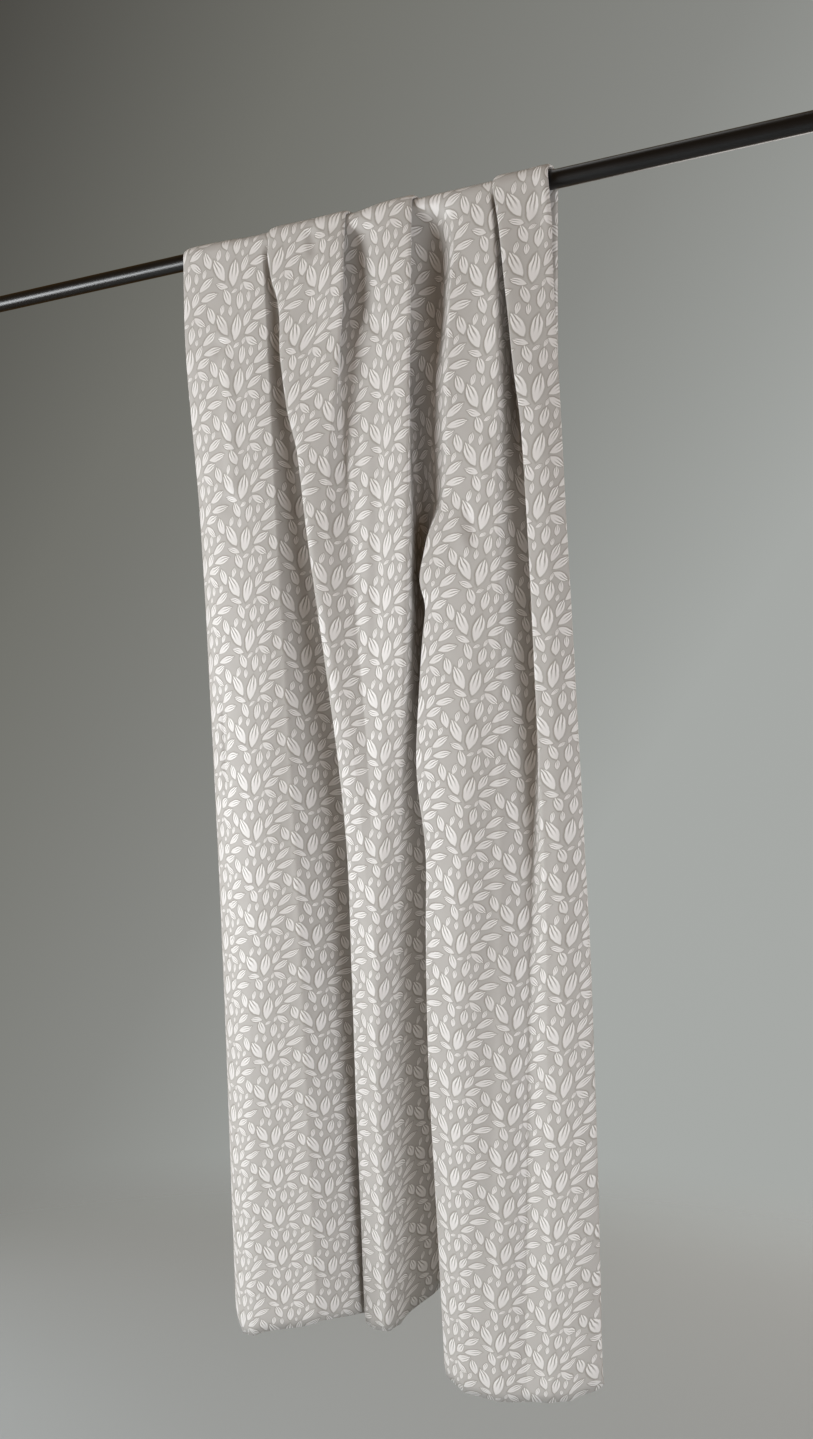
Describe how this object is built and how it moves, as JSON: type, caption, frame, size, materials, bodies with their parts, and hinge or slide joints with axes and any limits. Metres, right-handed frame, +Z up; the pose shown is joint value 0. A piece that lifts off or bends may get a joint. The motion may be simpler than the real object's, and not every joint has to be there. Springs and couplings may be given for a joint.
{
  "type": "curtain cloth draped over a plain rod",
  "caption": "Length of leaf-patterned drapery cloth gathered into uneven hanging folds over a plain round rod, long drop in front.",
  "frame": {"origin": "on the rod's axis, 20 mm to the left of the rod's middle, where whatever carries the rod holds it", "axes": "+X along the rod to the viewer's right, +Y from the long front drop towards the back drop, +Z up"},
  "size_m": [1.6, 0.2007, 1.6677],
  "materials": {
    "drapery_cloth": "satin",
    "black_rod": "satin"
  },
  "bodies": {
    "root": {"curtain": "drapery_cloth", "rod": "black_rod"}
  },
  "joints": []
}
